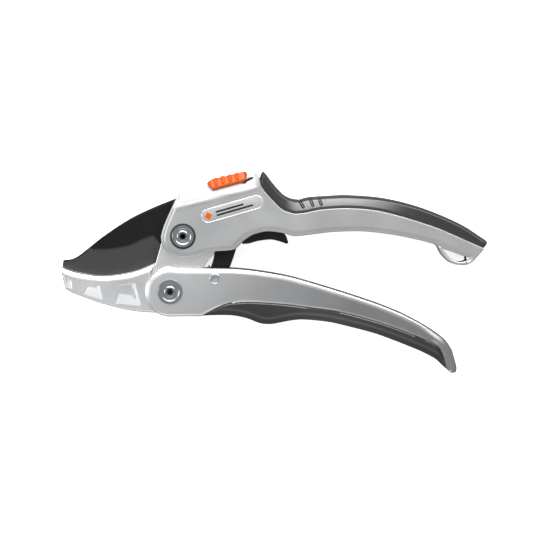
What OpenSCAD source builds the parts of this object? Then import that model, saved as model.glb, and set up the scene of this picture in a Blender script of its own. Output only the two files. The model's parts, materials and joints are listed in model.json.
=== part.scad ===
// Ratchet anvil pruning shears, closed, lying on their back side.
// X runs towards the tails, Y from the lower handle to the upper one, Z up through the thickness.
// Every outline is drawn about the main pivot, and place() then puts the origin under the middle.

/* [Reach] */
// From the main pivot to the tail of the upper handle
upper_reach = 152.3; // [125:0.1:185]
// From the main pivot to the tail of the lower handle
lower_reach = 136.8; // [112:0.1:166]
// From the main pivot to the nose of the anvil
nose_reach = 60.85; // [50:0.05:74]

/* [Linkage] */
// How far the lower pivot lies in front of the main pivot
lower_pivot_ahead = 6.35; // [5:0.05:8]
// How far the lower pivot lies below the main pivot
lower_pivot_drop = 27.6; // [26.6:0.05:28.6]
// From the lower pivot to the strut pin, and from the main pivot to the notch in use
crank = 23.24; // [22.6:0.02:24]
// Angle of the crank above the X axis, closed
crank_angle = 16.4; // [15:0.1:18]
// From one ratchet notch to the next
notch_pitch = 4.8; // [4.6:0.05:5.4]

/* [Thickness] */
// Whole depth of the grips and of the lower handle
grip_depth = 17.6; // [16.8:0.1:22]
// Depth of the upper handle's casting
head_depth = 16; // [15.2:0.1:16.6]
// Thickness of the blade
blade_thick = 3.2; // [2.4:0.1:4]
// Thickness of each side plate of the anvil body
web_thick = 2.3; // [1.8:0.1:2.8]
// Depth of the anvil bar
anvil_depth = 10; // [9.4:0.1:14]
// Wall under the spine of the upper handle
spine_wall = 3.1; // [2.4:0.1:3.4]

/* [Pivots and pins] */
// Shank diameter of both pivot bolts
bolt_d = 6; // [5:0.1:7.2]
// Outer diameter of both pivot bushes
bush_d = 10; // [8.6:0.1:12]
// Diameter of the main bolt's head
main_head_d = 11.2; // [10:0.1:12.4]
// Diameter of the lower bolt's head and nut
lower_head_d = 12.4; // [12.2:0.1:14.8]
// Diameter of the strut pin
strut_pin_d = 4; // [3.2:0.1:4.8]
// Diameter of the trigger pin
trigger_pin_d = 2.4; // [2:0.1:2.9]
// Radius of the lower handle's round front end
front_r = 12.5; // [12.2:0.05:13]

/* [Clearances] */
// Between the blade and each side plate, room for a thrust washer
washer_gap = 0.5; // [0.4:0.05:0.8]
// Between a washer and the piece that turns on it
washer_play = 0.05; // [0.02:0.01:0.1]
// Radial clearance of a shaft in its hole
shaft_play = 0.05; // [0.02:0.01:0.08]
// Between pieces that move past each other
run_gap = 0.3; // [0.25:0.05:0.4]

/* [Lock slider] */
// How far the slider moves
lock_travel = 3.5; // [2:0.1:4]
// Length of the slider along the spine
slider_len = 20; // [16:0.1:21]

/* [Hidden] */
$fn = 64;

// Heights of the outline above and below the main pivot
rise = 32.4;
drop = 68.3;

// Layers, as half depths from the middle plane
half = grip_depth / 2;
head_half = head_depth / 2;
blade_half = blade_thick / 2;
web_in = blade_half + washer_gap;
web_out = web_in + web_thick;
lower_in = web_out + washer_gap;
washer_thick = washer_gap - washer_play;
anvil_half = anvil_depth / 2;
lip_half = anvil_half + 0.4;

// Pivots
O = [0, 0];
Q = [-lower_pivot_ahead, -lower_pivot_drop];
along_crank = [cos(crank_angle), sin(crank_angle)];
T = crank * along_crank;
P = Q + T;
trigger_at = [33, 4];

// Spine line of the head: a point on it and its angle
spine_at = [5.35, 24.7];
spine_angle = 11.8;
spine_facet = 7.7;
spine_top_half = head_half - 2.2;

// The blade's sweep inside the head, and the end of its tail
hub_r = 10.5;
blade_top_r = 19.3;
tail_end = crank + 4;
tail_tall = 6;

// Main bolt: its ring lies in a seat in the casting, and its nut in another
ring_sink = 1;
bolt_ring_d = main_head_d + 1.6;
bolt_top = head_half + 1.5;
main_nut_d = 11;
nut_thick = 2.4;
nut_low = -head_half - 0.8;
socket_r = 1.75;
socket_deep = 1.6;

// Lower bolt, its nut, and how far both bolts' shanks stop short of their nuts' faces
lower_bolt_top = half + 2;
lower_nut_thick = 2.2;
shank_short = 0.4;

// Washers, dowels and the trigger's pin
washer_wide = 3;
dowel_d = 3;
dowel_deep = 2;
dowel_spots = [[10.8, -4.6], [9, 14.2]];
trigger_boss_r = 3.2;
lever_half = web_out - 0.5;
pin_half = web_out + 2.2;

// Badge, thumb grooves and pockets
badge_from = [12.6, 10.15];
badge_to = [36.7, 17.05];
badge_r = 3.4;
badge_sink = 0.5;
groove_r = 1.2;
pocket_deep = 2.4;

// Strut: its rounded nose, its boss, and the spring coiled about its pin
nose_r = 2;
strut_boss_r = 5;
spring_wire = 0.9;
spring_r = 3.2;
spring_turns = 2.25;
spring_z = blade_half + 0.6;
coil_gap = 0.05;

// Lock slider on the spine: u along it and v up from it
slider_from = 6.6;
slider_skirt = -3.4;
slider_cap = 1.4;
slider_wall = 1.2;
ridge_r = 1.9;
ridge_pitch = 3.6;
saddle_play = 0.25;
tongue_from = 13.1;
tongue_half = 1.5;
tongue_len = 7;

// Where the grips begin and end, and where the nose begins
upper_start = 58;
upper_tail = 33.9;
lower_start = 42;
lower_tail = 15.7;
heel_x = -14;

// Widths along the grips and the nose: a fraction turned into a place
function upper_x(f) = upper_start + f * (upper_reach - upper_tail - upper_start);
function lower_x(f) = lower_start + f * (lower_reach - lower_tail - lower_start);
function fore_x(f) = heel_x - f * (nose_reach + heel_x);
function on_upper(list) = [for (p = list) [upper_x(p[0]), p[1]]];
function on_lower(list) = [for (p = list) [lower_x(p[0]), p[1]]];
function on_nose(list) = [for (p = list) [fore_x(p[0]), p[1]]];
function from_x(x, list) = [for (p = list) [x + p[0], p[1]]];

// Smooth curve through points: each stretch is a cubic whose ends lean along its neighbours
function lean(p, i) = (p[min(i + 1, len(p) - 1)] - p[max(i - 1, 0)]) / 2;
function stretch(a, b, da, db, t) =
    (2 * t * t * t - 3 * t * t + 1) * a + (t * t * t - 2 * t * t + t) * da
    + (3 * t * t - 2 * t * t * t) * b + (t * t * t - t * t) * db;
function smooth(p, steps = 3) = [
    for (i = [0:len(p) - 2]) for (k = [0:steps - 1])
        stretch(p[i], p[i + 1], lean(p, i), lean(p, i + 1), k / steps),
    p[len(p) - 1]
];
function lowered(p, by) = [for (q = p) [q[0], q[1] - by]];
function arc(centre, r, from, to, steps = 12) = [
    for (k = [0:steps]) centre + r * [cos(from + (to - from) * k / steps),
                                      sin(from + (to - from) * k / steps)]
];

// Whole part moved so that the origin is under the middle of its box
module place() {
    translate([(nose_reach - upper_reach) / 2, (drop - rise) / 2, half]) children();
}

// Extrusion between two heights measured from the middle plane
module slab(low, high) {
    translate([0, 0, low]) linear_extrude(high - low) children();
}
module both_sides() {
    children();
    mirror([0, 0, 1]) children();
}
module at(p) {
    translate([p[0], p[1], 0]) children();
}
module rod(p, d, low, high) {
    translate([p[0], p[1], low]) cylinder(d = d, h = high - low);
}
// Children drawn along the spine, with X along it and Y up from it
module on_spine() {
    translate([spine_at[0], spine_at[1], 0]) rotate(spine_angle) children();
}
// Section drawn as [height, depth], run along X
module run_along(from, to) {
    translate([from, 0, 0]) rotate([90, 0, 90]) linear_extrude(to - from) children();
}
// Closed coil of round wire about Z, starting at the given angle
module coil(r, wire, turns, start) {
    steps = 14;
    sides = 6;
    count = ceil(steps * turns);
    rings = [for (i = [0:count]) for (j = [0:sides - 1])
        let (a = start + 360 * turns * i / count, b = 360 * j / sides, q = r + wire / 2 * cos(b))
        [q * cos(a), q * sin(a), (wire + coil_gap) * turns * i / count + wire / 2 * sin(b)]];
    walls = [for (i = [0:count - 1]) for (j = [0:sides - 1])
        [i * sides + j, i * sides + (j + 1) % sides,
         (i + 1) * sides + (j + 1) % sides, (i + 1) * sides + j]];
    caps = [[for (j = [sides - 1:-1:0]) j], [for (j = [0:sides - 1]) count * sides + j]];
    polyhedron(rings, concat(walls, caps));
}

// Outlines -------------------------------------------------------------------------------

// Cutting edge, heel to tip
edge_line = smooth(on_nose([[0, -13.4], [0.14, -16.25], [0.27, -18.05], [0.46, -19.5],
    [0.61, -19.65], [0.81, -18.2], [0.91, -16.95], [0.995, -15.3]]));
// Spine of the blade, tip to head
blade_spine = smooth(concat(on_nose([[0.985, -12], [0.896, -11.5], [0.812, -9.55],
    [0.702, -5.45], [0.541, 0.45], [0.269, 8.8], [0.01, 14.6]]), [[-4, 18.8]]));
// Lower border of the lip, nose to boss
lip_line = concat(on_nose([[1, -18.65]]), smooth(on_nose([[0.98, -19.4], [0.865, -21.2],
    [0.734, -22.25], [0.573, -22.9], [0.412, -22.55], [0.269, -21.65], [0.05, -18.4]])));
// Underside of the anvil bar, boss to nose
bar_line = smooth(concat([[-13.5, -38.3]], on_nose([[0.149, -37.85],
    [0.327, -36.6], [0.573, -33.65], [0.734, -31], [0.864, -28.8], [0.954, -26.65]])));
// The three pockets
pockets = [
    [[0.948, -20.9], [0.892, -21.65], [0.884, -26.8], [0.928, -26.15]],
    [[0.73, -24.2], [0.594, -24.4], [0.558, -31.9], [0.764, -29.05]],
    [[0.387, -24.55], [0.211, -23.4], [0.149, -34.95], [0.424, -33.65]]
];

// Underside of the upper handle, head to tail
head_front = smooth([[-3.6, 18.95], [-6.15, 13.25], [-9.6, 5.2], [-11.1, -0.15],
    [-10.35, -4.4], [-7.3, -8.2], [-2.3, -10.25]]);
head_under = smooth([[4.6, -10.25], [14.55, -7.8], [25.05, -6.7], [29.5, -3], [34.6, 0.5],
    [41.9, 2.35], [49.15, 1.65], [55.05, 0]]);
grip_under = smooth(on_upper([[0.014, 0.2], [0.296, 2.2], [0.53, 2.35], [0.76, 0.8],
    [0.98, -1.8]]));
eyelet_outer = smooth(from_x(upper_reach, [[-26.75, -4.1], [-25.05, -5.55],
    [-23.15, -9.15], [-19.55, -12.75], [-15.95, -14.15], [-11.2, -14.4], [-8.05, -12.75],
    [-3.05, -7.45], [-1.85, -6.05]]));
eyelet_hole = smooth(from_x(upper_reach, [[-10.95, -10.6], [-12.4, -12.5], [-14.3, -12.5],
    [-17.65, -10.8], [-20.5, -8.4], [-21.7, -6.5]]));
// Border between casting and pad, tail to head
upper_border = smooth(concat(from_x(upper_reach, [[-1.85, -6.05], [-10, -2.45],
    [-21.95, 3.3]]), on_upper([[0.887, 9.25], [0.654, 12.75], [0.422, 14.15],
    [0.19, 13.45], [0.056, 11.9]]), [[55.8, 11.35], [50.2, 13.15], [46.1, 16.7],
    [41, 22.35], [38.7, 26.15], [38.3, 28.95]]));
// Top of the pad, head to tail, with its three thumb grooves
pad_front = smooth([[38.3, 28.95], [40.05, rise - 0.05], [43.3, 28.45], [46.85, 24.1],
    [50.2, 20.8], [53.75, 19], [57.3, 18.1]]);
pad_top = smooth(concat(on_upper([[0.16, 19.6], [0.296, 20.15], [0.4, 20.35],
    [0.654, 19.05], [0.887, 15.9]]), from_x(upper_reach, [[-26.75, 11], [-12.7, 4.7],
    [0, -2.95]])));

// Lower handle: top, tail and border, then the pad's underside
lower_top = smooth(concat([[24.25, -15.75], [36.25, -16.95]], on_lower([[0.109, -19.35],
    [0.234, -21.9], [0.464, -27.35], [0.693, -33.4], [0.847, -38.25], [1, -44.65]])));
lower_end = smooth(from_x(lower_reach, [[-6.6, -51], [-2.35, -56.8], [-0.45, -63.65],
    [0, -66.4], [-0.45, -68.1], [-2.55, -drop], [-4.45, -66.95]]));
lower_border = smooth(concat(from_x(lower_reach, [[-4.45, -66.95], [-6.55, -62],
    [-9.25, -56.85], [-11.9, -53.75]]), on_lower([[0.975, -50.9], [0.847, -46.75],
    [0.693, -42.5], [0.464, -37.65], [0.271, -35.4], [0.109, -33.8]]), [[36.25, -32.75],
    [29.05, -32.75], [21.9, -33.95], [17.1, -35.85], [9, -39.9]]));
pad_under = smooth(concat([[9, -39.9], [17.6, -39.65], [25.25, -39.9], [32.15, -41.4],
    [38.25, -43.7]], on_lower([[0.02, -44.2], [0.157, -42.4], [0.234, -41.9],
    [0.387, -43.1], [0.54, -45.85], [0.693, -49.15], [0.847, -53.65], [0.951, -57]]),
    from_x(lower_reach, [[-13.85, -59.7], [-10, -62], [-4.45, -66.95]])));

// Fixed frame ----------------------------------------------------------------------------

module web_outline() {
    polygon(concat([[-13.9, -13.7], [-11.2, -4.3], [-9.4, 3], [-5, 11], [2, 18.2], [8, 19.6],
        [14, 17], [17, 8], [17.2, -4]], smooth([[15.05, -9.35], [12.3, -12.4], [10.5, -14.95],
        [7.6, -20]]), [[4, -27], [-15.5, -27], [-16.1, -18.9]]));
}
module anvil_body() {
    color("gainsboro") difference() {
        union() {
            difference() {
                slab(-anvil_half, anvil_half)
                    polygon(concat(lip_line, [[-12, -20], [-8, -34]], bar_line));
                rod(Q, 2 * (front_r + run_gap), -half, half);
            }
            // Neck between the bar and the boss
            slab(-web_out, web_out) polygon([[-25, -25], [-18.5, -20.3], [-13.5, -17.6],
                [-9, -18], [-8, -34], [-13.2, -37.6], [-25, -35]]);
            rod(Q, 2 * front_r, -web_out, web_out);
            both_sides() slab(web_in, web_out) web_outline();
        }
        // Pockets on both faces
        both_sides() for (p = pockets)
            slab(anvil_half - pocket_deep, anvil_half + 1) polygon(on_nose(p));
        rod(O, bush_d, -half, half);
        rod(Q, bush_d, -half, half);
        dowel_holes();
    }
}
module anvil_plate() {
    color("silver") difference() {
        slab(-lip_half, lip_half)
            polygon(concat(lowered(edge_line, run_gap), lip_line));
        rod(Q, 2 * (front_r + run_gap), -half, half);
    }
}
module upper_casting() {
    polygon(concat(head_front, head_under, grip_under, eyelet_outer, upper_border,
        [[37.5, 31.4], spine_at, [1.6, 23.4], [-1.1, 21.6]]));
}
module upper_channel() {
    under = -spine_wall / cos(spine_angle);
    run = [cos(spine_angle), sin(spine_angle)];
    polygon([[-20, -20], [-20, 14], [-4, 16.5], [2.5, 18.6], spine_at + [0, under],
        spine_at + [0, under] + 31 * run, [37, 23], [44, 14], [50, 9.4], [56.3, 7.6],
        [56.3, -8], [40, -20]]);
}
module upper_handle() {
    facet_end = 33.4;
    color("lightgray") difference() {
        slab(-head_half, head_half) upper_casting();
        slab(-web_out, web_out) {
            upper_channel();
            circle(r = blade_top_r + 1);
        }
        // Facets sloping in towards the spine
        both_sides() on_spine() run_along(-12, facet_end) polygon([[-spine_facet, head_half],
            [0.5, spine_top_half - 0.14], [0.5, half], [-spine_facet, half]]);
        // Slot for the lock's tongue
        on_spine() translate([tongue_from - run_gap, -spine_wall - 2, -tongue_half - run_gap])
            cube([tongue_len + lock_travel + 2 * run_gap, spine_wall + 4,
                2 * (tongue_half + run_gap)]);
        slab(-half, half) polygon(eyelet_hole);
        // Seats for the head, its ring, the nut, the badge and the blind pin
        rod(O, bolt_d + 2 * shaft_play, -half, half);
        rod(O, bolt_ring_d, head_half - ring_sink, half + 1);
        rod(O, main_nut_d, -half - 1, nut_low + nut_thick);
        slab(head_half - badge_sink, half) badge_outline();
        dowel_holes();
        rod(trigger_at, trigger_pin_d, -pin_half, pin_half);
    }
}

module groove_outline() {
    // Three grooves across the thumb rest, with two ribs between
    for (x = [59, 63.6, 68.2]) translate([x, 20.2]) rotate(28) {
        translate([0, -2.6]) circle(r = groove_r);
        translate([-groove_r, -2.6]) square([2 * groove_r, 4]);
    }
}
module upper_grip() {
    color("dimgray") difference() {
        slab(-half, half) polygon(concat(pad_front, pad_top, upper_border));
        slab(-half - 1, half + 1) groove_outline();
    }
}
module badge_outline() {
    lie = atan2(badge_to[1] - badge_from[1], badge_to[0] - badge_from[0]);
    polygon(concat(arc(badge_from, badge_r, lie + 90, lie + 270),
        arc(badge_to, badge_r, lie - 90, lie + 90)));
}
module badge() {
    color("white") slab(head_half - badge_sink, head_half + 0.1) badge_outline();
}

// Main pivot
module socket_cut(p, top) {
    rod(p, 2 * socket_r, top - socket_deep, top + 1);
}
module main_bolt() {
    color("silver") difference() {
        union() {
            rod(O, bolt_d, nut_low + shank_short, head_half);
            rod(O, main_head_d, head_half - ring_sink, bolt_top);
        }
        socket_cut(O, bolt_top);
    }
}
module main_bolt_ring() {
    color("black") difference() {
        rod(O, bolt_ring_d, head_half - ring_sink, head_half + 0.2);
        rod(O, main_head_d, 0, half + 1);
    }
}
module main_nut() {
    color("silver") difference() {
        rod(O, main_nut_d, nut_low, nut_low + nut_thick);
        rod(O, bolt_d, nut_low - 1, 0);
    }
}
module main_bush() {
    color("tan") difference() {
        rod(O, bush_d, -web_out, web_out);
        rod(O, bolt_d, -half, half);
    }
}
module blade_washers() {
    color("gray") both_sides() difference() {
        rod(O, bush_d + 2 * washer_wide, web_in - washer_thick, web_in);
        rod(O, bush_d, 0, half);
    }
}
// Short dowels that locate each side plate in the casting
module dowels(d) {
    both_sides() for (p = dowel_spots) rod(p, d, web_in + run_gap, web_out + dowel_deep);
}
module dowel_holes() {
    dowels(dowel_d);
}
module frame_dowels() {
    color("silver") dowels(dowel_d);
}

// Lower pivot
module lower_bolt() {
    color("silver") difference() {
        union() {
            rod(Q, bolt_d, -half + shank_short, half + washer_play);
            rod(Q, lower_head_d, half + washer_play, lower_bolt_top);
        }
        socket_cut(Q, lower_bolt_top);
    }
}
module lower_nut() {
    color("silver") difference() {
        rod(Q, lower_head_d, -half, -half + lower_nut_thick);
        rod(Q, bolt_d, -half - 1, 0);
    }
}
module lower_bush() {
    color("tan") difference() {
        rod(Q, bush_d, -half + lower_nut_thick, half + washer_play);
        rod(Q, bolt_d, -half, half + 1);
    }
}
module lower_washers() {
    color("gray") both_sides() difference() {
        rod(Q, bush_d + 2 * washer_wide, web_out, web_out + washer_thick);
        rod(Q, bush_d, 0, half);
    }
}

// Moving pieces --------------------------------------------------------------------------

module blade() {
    color("#2a2a2a") difference() {
        union() {
            slab(-blade_half, blade_half) polygon(concat(edge_line, blade_spine,
                arc(O, blade_top_r, 100, 60), [[6, 8], O, [-6, -8.2]]));
            // Tail about the main pivot, its underside on the crank's own line
            rotate(crank_angle) slab(-blade_half, blade_half) polygon([O, [tail_end, 0],
                [tail_end, tail_tall - 2], [tail_end - 2, tail_tall], [14, 11.5],
                [0, blade_top_r - 3]]);
            rod(O, 2 * hub_r, -blade_half, blade_half);
        }
        // Ratchet notches
        for (i = [0:2])
            rod((crank - i * notch_pitch) * along_crank, 2 * (nose_r + run_gap), -half, half);
        rod(O, bush_d + 2 * shaft_play, -half, half);
    }
}

module lower_handle() {
    floor_y = Q[1] - 2;
    color("silver") difference() {
        union() {
            slab(-half, half) polygon(concat([Q, Q + [2.4, front_r - 0.6]], lower_top,
                lower_end, lower_border, [Q + [3, -front_r + 0.5]]));
            rod(Q, 2 * front_r, -half, half);
        }
        slab(-lower_in, lower_in) {
            polygon([Q, [Q[0], 0], [41, 0], [41, -17], [34, floor_y], [Q[0], floor_y]]);
            translate(Q) circle(r = front_r + run_gap);
        }
        rod(Q, bush_d + 2 * shaft_play, -half - 1, half + 1);
        rod(Q, lower_head_d + 2 * run_gap, -half - 1, -half + lower_nut_thick + run_gap);
        rod(P, strut_pin_d, -half - 1, half + 1);
    }
}
module lower_grip() {
    color("dimgray") slab(-half, half) polygon(concat(pad_under, lower_border));
}
module strut_pin() {
    color("silver") rod(P, strut_pin_d, -half, half + 0.3);
}

module ratchet_strut() {
    color("#303030") difference() {
        slab(-blade_half, blade_half) {
            polygon([T + [-1.9, -0.6], P + [-0.6, 20], P + [-0.5, 12.15], P + [-2.1, 5.9],
                P + [-strut_boss_r, 0], P + [strut_boss_r, 0], P + [7.5, 5.9], P + [10.35, 14.35],
                P + [10.6, 17.5], P + [9.2, 22.3], T + [1.5, -1.3]]);
            translate(P) circle(r = strut_boss_r);
            translate(T) circle(r = nose_r);
        }
        rod(P, strut_pin_d + 2 * shaft_play, -half, half);
    }
}
// One coil on each side of the strut: a leg under it, and one up past the handle's top edge
module strut_spring() {
    color("#202020") both_sides() at(P) mirror([1, 0, 0]) {
        translate([0, 0, spring_z]) coil(spring_r, spring_wire, spring_turns, -90);
        translate([0, -spring_r, spring_z]) rotate([0, -90, 0])
            cylinder(d = spring_wire, h = 5);
        translate([spring_r, 0, spring_z + spring_turns * (spring_wire + coil_gap)])
            rotate([-90, 0, 0]) cylinder(d = spring_wire, h = 6.5);
    }
}

// Lock slider: a saddle on the spine, with ridges across its back
function facet_z(v) = spine_top_half - 2.2 * v / spine_facet;
module lock_slider() {
    skirt = slider_skirt;
    cap = slider_cap;
    color("orangered") on_spine() difference() {
        union() {
            run_along(slider_from, slider_from + slider_len) polygon([
                [skirt, -facet_z(skirt) - slider_wall], [cap, -facet_z(0) - slider_wall],
                [cap, facet_z(0) + slider_wall], [skirt, facet_z(skirt) + slider_wall]]);
            for (i = [0:3])
                translate([slider_from + slider_len / 2 + ridge_pitch * (i - 1.5), cap - 0.6,
                    -spine_top_half])
                cylinder(r = ridge_r, h = 2 * spine_top_half);
        }
        run_along(slider_from - 1, slider_from + slider_len + 1) polygon([
            [skirt - 1, -facet_z(skirt - 1) - saddle_play], [saddle_play, -facet_z(0) - saddle_play],
            [saddle_play, facet_z(0) + saddle_play], [skirt - 1, facet_z(skirt - 1) + saddle_play]]);
        translate([tongue_from, -3, -tongue_half]) cube([tongue_len, 3.6, 2 * tongue_half]);
    }
}
module lock_tongue() {
    color("gray") on_spine() translate([tongue_from, -spine_wall - 1.4, -tongue_half])
        cube([tongue_len, spine_wall + 2, 2 * tongue_half]);
}
// Bent strip under the spine, just past the tongue's travel
module lock_spring() {
    strip = 0.5;
    from = tongue_from + tongue_len + lock_travel + run_gap;
    color("silver") on_spine() {
        translate([from, -spine_wall - strip, -3]) cube([5.5, strip, 6]);
        translate([from, -spine_wall - 2.4, -3]) cube([strip, 2.4, 6]);
    }
}

// Release trigger in the channel behind the blade's tail
module release_trigger() {
    color("#1c1c1c") difference() {
        slab(-lever_half, lever_half) {
            polygon(concat([[29.9, 4], [29.5, -3.95]], smooth([[33, -3.65], [37.8, -2.35],
                [44.15, -1.75], [49.25, -3], [51.5, -3.8]]), [[52.45, -2.7], [50.6, 1.2],
                [45, 4.6], [36, 5.4]]));
            translate(trigger_at) circle(r = trigger_boss_r);
        }
        rod(trigger_at, trigger_pin_d + 2 * shaft_play, -half, half);
        // Room for the spring
        rod(trigger_at, 8, -1.5, 1.5);
        slab(-1.5, 1.5) translate(trigger_at + [-4, -1]) square([12, 8]);
    }
}
module trigger_pin() {
    color("silver") rod(trigger_at, trigger_pin_d, -pin_half, pin_half);
}
module trigger_spring() {
    color("silver") at(trigger_at) {
        translate([0, 0, -0.85]) coil(2, 0.6, 2.5, 90);
        translate([-2, 0, 0]) rotate([-90, 0, 0]) cylinder(d = 0.6, h = 9);
    }
}

place() {
    anvil_body();
    anvil_plate();
    upper_handle();
    upper_grip();
    badge();
    main_bolt();
    main_bolt_ring();
    main_nut();
    main_bush();
    blade_washers();
    frame_dowels();
    lower_bolt();
    lower_nut();
    lower_bush();
    lower_washers();
    blade();
    lower_handle();
    lower_grip();
    strut_pin();
    ratchet_strut();
    strut_spring();
    lock_slider();
    lock_tongue();
    lock_spring();
    release_trigger();
    trigger_pin();
    trigger_spring();
}
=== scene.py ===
"""Ratchet anvil pruning shears, lying closed on their back side.

Outlines are in millimetres about the main pivot: X towards the tails, Y from the lower handle to
the upper one, Z up from the middle plane. place() turns them into the frame's metres.
"""
import json
import math

import bpy
import bmesh
import numpy as np
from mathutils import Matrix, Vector


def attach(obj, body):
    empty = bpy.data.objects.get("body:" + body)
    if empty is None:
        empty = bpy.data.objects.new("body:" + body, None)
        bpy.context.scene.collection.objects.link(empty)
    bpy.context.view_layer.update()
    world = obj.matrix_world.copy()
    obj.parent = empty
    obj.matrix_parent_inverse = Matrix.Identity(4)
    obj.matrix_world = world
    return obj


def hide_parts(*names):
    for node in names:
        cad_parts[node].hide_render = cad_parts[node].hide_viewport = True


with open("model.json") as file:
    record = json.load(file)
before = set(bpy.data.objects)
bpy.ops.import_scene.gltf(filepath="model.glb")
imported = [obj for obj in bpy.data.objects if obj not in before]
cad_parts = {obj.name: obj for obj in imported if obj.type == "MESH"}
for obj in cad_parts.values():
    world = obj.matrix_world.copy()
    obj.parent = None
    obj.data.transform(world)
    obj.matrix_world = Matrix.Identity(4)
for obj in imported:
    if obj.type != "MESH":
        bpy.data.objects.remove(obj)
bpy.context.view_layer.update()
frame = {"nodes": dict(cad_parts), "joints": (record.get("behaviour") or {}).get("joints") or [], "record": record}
bpy.context.scene.view_settings.view_transform = "Standard"

MM = 0.001
joints = {j["name"]: j for j in frame["joints"]}
PIVOT = np.array(joints["blade_pivot"]["pos_m"])


def joint_at(name):
    """A joint's place in millimetres about the main pivot."""
    return (np.array(joints[name]["pos_m"]) - PIVOT)[:2] / MM


# Axes: main bolt, lower bolt, strut pin, the strut's nose in the blade's notch, trigger pin
O = np.zeros(2)
Q = joint_at("handle_pivot")
P = joint_at("strut_pivot")
T = P - Q
TRIGGER = joint_at("trigger_pivot")

# Half depths of the layers, from the middle plane
BLADE = 1.6
WEB_IN = 2.1
WEB_OUT = 4.4
LOWER_IN = 4.9
BAR = 5.0
LIP = 5.4
HEAD = 8.0
PAD = 8.8
# The lower handle's front end, the bolts' lower ends and the lock's travel
FRONT_R = 12.5
SHANK_LOW = -8.4
LOCK_TRAVEL = 3.5
# The fold across the head, and the spine that the lock slides on
FOLD_AT = (-3.45, 14.0)
FOLD_TURN = math.radians(14.1)
SPINE_AT = np.array([5.35, 24.7])
SPINE_TURN = math.radians(11.8)
SPINE_ALONG = np.array([math.cos(SPINE_TURN), math.sin(SPINE_TURN)])
# Doubles nearer than this are merged, in metres
MERGE = 2e-6


# ---------------------------------------------------------------- curves and meshes


def place(points):
    """Millimetres about the main pivot to metres in the frame."""
    return np.asarray(points, float) * MM + PIVOT


def smooth(points, steps=8):
    """Cubic stretches through the points, each end leaning along the line of its neighbours."""
    p = np.asarray(points, float)
    lean = np.empty_like(p)
    lean[1:-1] = (p[2:] - p[:-2]) / 2
    lean[0] = (p[1] - p[0]) / 2
    lean[-1] = (p[-1] - p[-2]) / 2
    t = (np.arange(steps) / steps)[None, :, None]
    a, b, da, db = p[:-1, None], p[1:, None], lean[:-1, None], lean[1:, None]
    out = (
        (2 * t**3 - 3 * t**2 + 1) * a
        + (t**3 - 2 * t**2 + t) * da
        + (3 * t**2 - 2 * t**3) * b
        + (t**3 - t**2) * db
    )
    return np.vstack([out.reshape(-1, p.shape[1]), p[-1:]])


def line(*points):
    """Straight stretches through the points."""
    return np.asarray(points, float)


def arc(centre, r, start, stop, steps=24):
    """Circular arc between two angles in degrees."""
    a = np.radians(np.linspace(start, stop, steps + 1))
    return np.asarray(centre) + r * np.stack([np.cos(a), np.sin(a)], 1)


def resample(curve, count):
    """count points along a polyline, evenly spaced by length."""
    step = np.hypot(*np.diff(curve, axis=0).T)
    along = np.concatenate([[0], np.cumsum(step)])
    at = np.linspace(0, along[-1], count)
    return np.stack([np.interp(at, along, curve[:, k]) for k in (0, 1)], 1)


def distance(points, curve):
    """Shortest distance from each point to a polyline, worked out segment by segment as arrays."""
    a, b = curve[:-1], curve[1:]
    ab = b - a
    square = np.maximum((ab**2).sum(1), 1e-12)
    flat = points.reshape(-1, 2)
    out = []
    for part in np.array_split(flat, max(1, len(flat) // 2000)):
        ap = part[:, None] - a[None]
        t = np.clip((ap * ab).sum(2) / square, 0, 1)
        out.append(np.sqrt(((ap - t[..., None] * ab) ** 2).sum(2).min(1)))
    return np.concatenate(out).reshape(points.shape[:-1])


def step_up(low, high, x):
    """Smooth step from 0 at low to 1 at high."""
    t = np.clip((x - low) / (high - low), 0, 1)
    return t * t * (3 - 2 * t)


def round_over(d, r):
    """How far a quarter-round of radius r lies below the face, at distance d from the edge."""
    return r - np.sqrt(np.maximum(r**2 - (r - np.minimum(d, r)) ** 2, 0))


def rounded_back(d, reach, power):
    """Superellipse over an edge: 0 at the edge and 1 from reach inwards."""
    back = np.clip(1 - d / reach, 0, 1)
    return (1 - back**power) ** (1 / power)


def linked(name, data):
    """New object in the scene that holds the data."""
    made = bpy.data.objects.new(name, data)
    bpy.context.scene.collection.objects.link(made)
    return made


def make_object(name, points, faces, sharp=38):
    """Mesh from millimetre points, with doubles merged, empty faces gone and faces outwards."""
    mesh = bpy.data.meshes.new(name)
    mesh.from_pydata(place(points).tolist(), [], faces)
    work = bmesh.new()
    work.from_mesh(mesh)
    bmesh.ops.remove_doubles(work, verts=work.verts, dist=MERGE)
    bmesh.ops.dissolve_degenerate(work, edges=work.edges, dist=MERGE / 2)
    bmesh.ops.recalc_face_normals(work, faces=work.faces)
    work.to_mesh(mesh)
    work.free()
    mesh.shade_smooth()
    mesh.set_sharp_from_angle(angle=math.radians(sharp))
    return linked(name, mesh)


class Shells:
    """Collects closed shells, in millimetres, that make one piece."""

    def __init__(self):
        self.points = []
        self.faces = []
        self.count = 0

    def add(self, points, faces):
        self.points.append(np.asarray(points, float))
        self.faces += [[i + self.count for i in f] for f in faces]
        self.count += len(points)
        return self

    def both_sides(self, points, faces):
        """Adds a shell and its mirror image behind the middle plane."""
        return self.add(points, faces).add(mirrored(points), faces)

    def piece(self, name, **how):
        return make_object(name, np.vstack(self.points), self.faces, **how)


def grid_faces(rows, columns, start=0, closed=False):
    """Quads of a grid, row by row; closed joins the last column to the first."""
    index = start + np.arange(rows * columns).reshape(rows, columns)
    right = np.roll(index, -1, 1) if closed else index[:, 1:]
    left = index if closed else index[:, :-1]
    quads = np.stack([left[:-1], right[:-1], right[1:], left[1:]], -1)
    return quads.reshape(-1, 4).tolist()


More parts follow.
